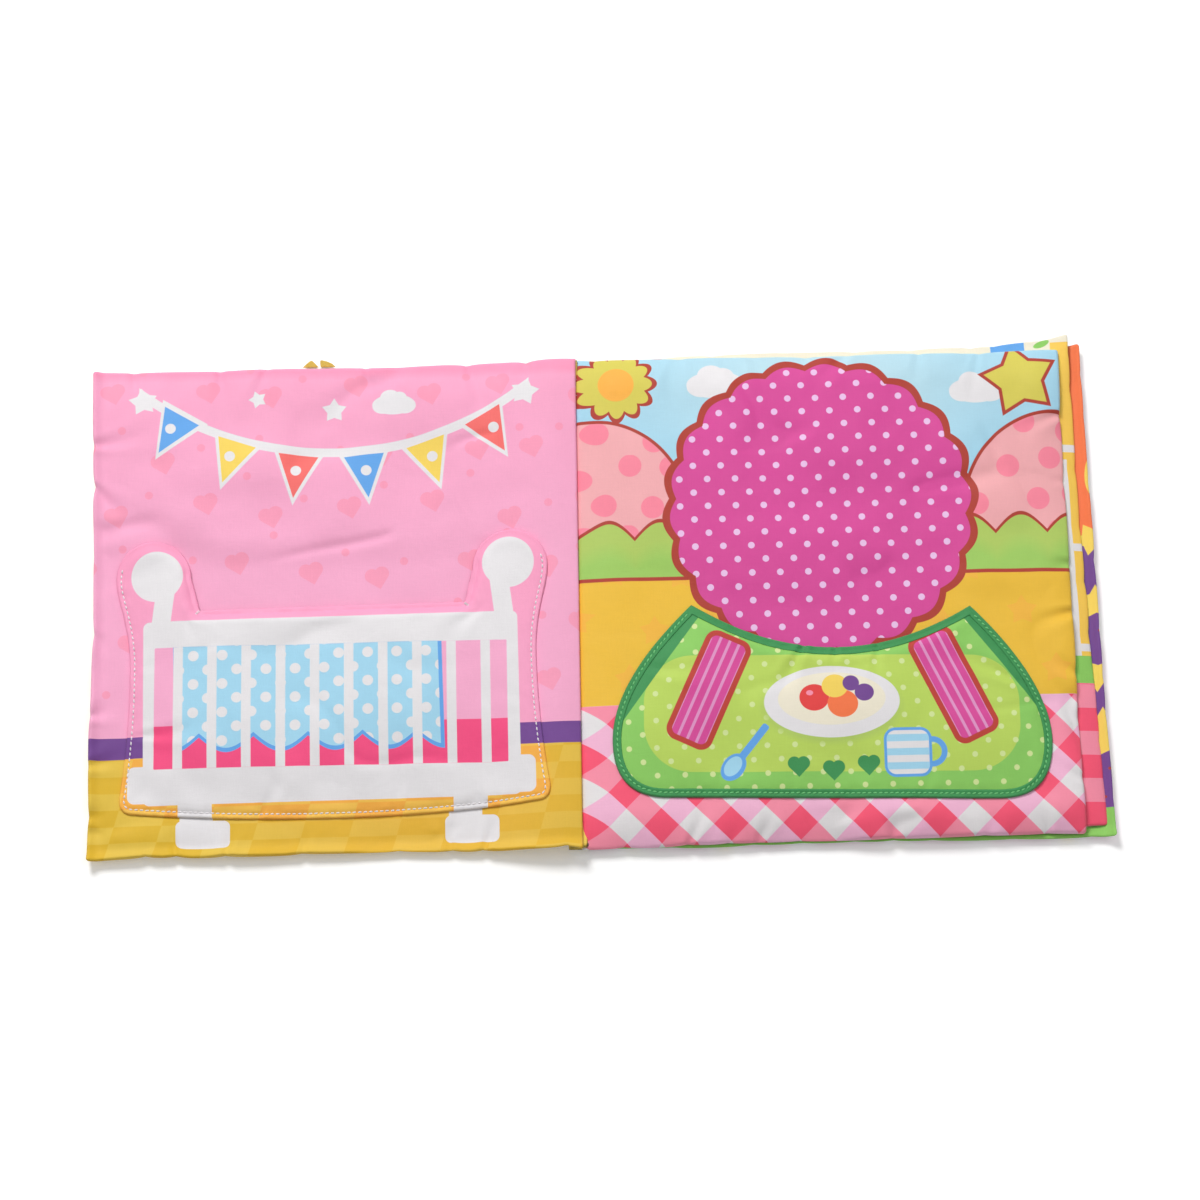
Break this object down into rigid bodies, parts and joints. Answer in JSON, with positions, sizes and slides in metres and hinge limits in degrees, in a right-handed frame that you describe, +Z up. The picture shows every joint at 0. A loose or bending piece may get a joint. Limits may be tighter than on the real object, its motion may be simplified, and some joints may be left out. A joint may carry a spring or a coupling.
{
  "type": "crinkle cloth book",
  "caption": "Soft padded cloth book lying open, with crinkle film in each sewn leaf, turning leaves, and a sewn-on pocket on each of the two open pages.",
  "frame": {"origin": "on the table, under the gutter and half way up the pages, at the flat underside of the back cover", "axes": "+X across the right-hand pages, +Y towards the top edge of the pages, +Z up off the table through the stack of leaves"},
  "size_m": [0.4696, 0.2394, 0.0148],
  "materials": {
    "page_print_pink": "smooth printed polyester, fine plain weave, pink ground",
    "page_print_sky": "smooth printed polyester, fine plain weave, sky blue ground",
    "page_print_yellow": "smooth printed polyester, fine plain weave, golden yellow ground",
    "page_print_purple": "smooth printed polyester, fine plain weave, purple ground",
    "page_print_orange": "smooth printed polyester, fine plain weave, orange ground",
    "crib_print": "printed polyester, white rails on pink and light blue",
    "tray_print": "printed polyester, light green with pale dots",
    "pocket_lining": "plain polyester lining",
    "green_binding": "folded dark green cloth edge",
    "ribbon": "woven ribbon, satin",
    "seam_margin": "raw cloth and padding, pressed flat by the stitching",
    "padding": "soft bonded polyester padding",
    "crinkle_film": "thin crackling film"
  },
  "bodies": {
    "back_cover": {"back_cover_outer_panel": "page_print_purple", "back_cover_crinkle_film": "crinkle_film", "back_cover_padding": "padding", "back_cover_inner_panel": "page_print_orange", "back_cover_margin": "seam_margin", "third_leaf_margin": "seam_margin", "second_leaf_margin": "seam_margin", "front_cover_margin": "seam_margin", "spine_wrap": "page_print_yellow"},
    "third_leaf": {"third_leaf_back_panel": "page_print_pink", "third_leaf_crinkle_film": "crinkle_film", "third_leaf_padding": "padding", "third_leaf_front_panel": "page_print_yellow"},
    "second_leaf": {"second_leaf_back_panel": "page_print_yellow", "second_leaf_crinkle_film": "crinkle_film", "second_leaf_padding": "padding", "second_leaf_front_panel": "page_print_sky", "tray_pocket_lining": "pocket_lining", "tray_pocket_face": "tray_print", "tray_pocket_binding": "green_binding"},
    "front_cover": {"front_cover_outer_panel": "page_print_yellow", "front_cover_crinkle_film": "crinkle_film", "front_cover_padding": "padding", "front_cover_inner_panel": "page_print_pink", "crib_pocket_lining": "pocket_lining", "crib_pocket_face": "crib_print"},
    "ribbon_tab_left": {"ribbon_tab_left": "ribbon"},
    "ribbon_tab_right": {"ribbon_tab_right": "ribbon"}
  },
  "joints": [
    {"name": "front_cover_turn", "type": "hinge", "parent": "back_cover", "child": "front_cover", "pos_m": [0, 0, 0.0091], "axis": [0, 1, 0], "range_deg": [0, 172]},
    {"name": "second_leaf_turn", "type": "hinge", "parent": "third_leaf", "child": "second_leaf", "pos_m": [0, 0, 0.0091], "axis": [0, -1, 0], "range_deg": [0, 172]},
    {"name": "third_leaf_turn", "type": "hinge", "parent": "back_cover", "child": "third_leaf", "pos_m": [0, 0, 0.0091], "axis": [0, 1, 0], "range_deg": [-172, 0]},
    {"name": "ribbon_left_flop", "type": "hinge", "parent": "front_cover", "child": "ribbon_tab_left", "pos_m": [-0.127, 0.1169, 0.001], "axis": [1, 0, 0], "range_deg": [0, 110]},
    {"name": "ribbon_right_flop", "type": "hinge", "parent": "front_cover", "child": "ribbon_tab_right", "pos_m": [-0.1186, 0.1169, 0.001], "axis": [1, 0, 0], "range_deg": [0, 110]}
  ]
}
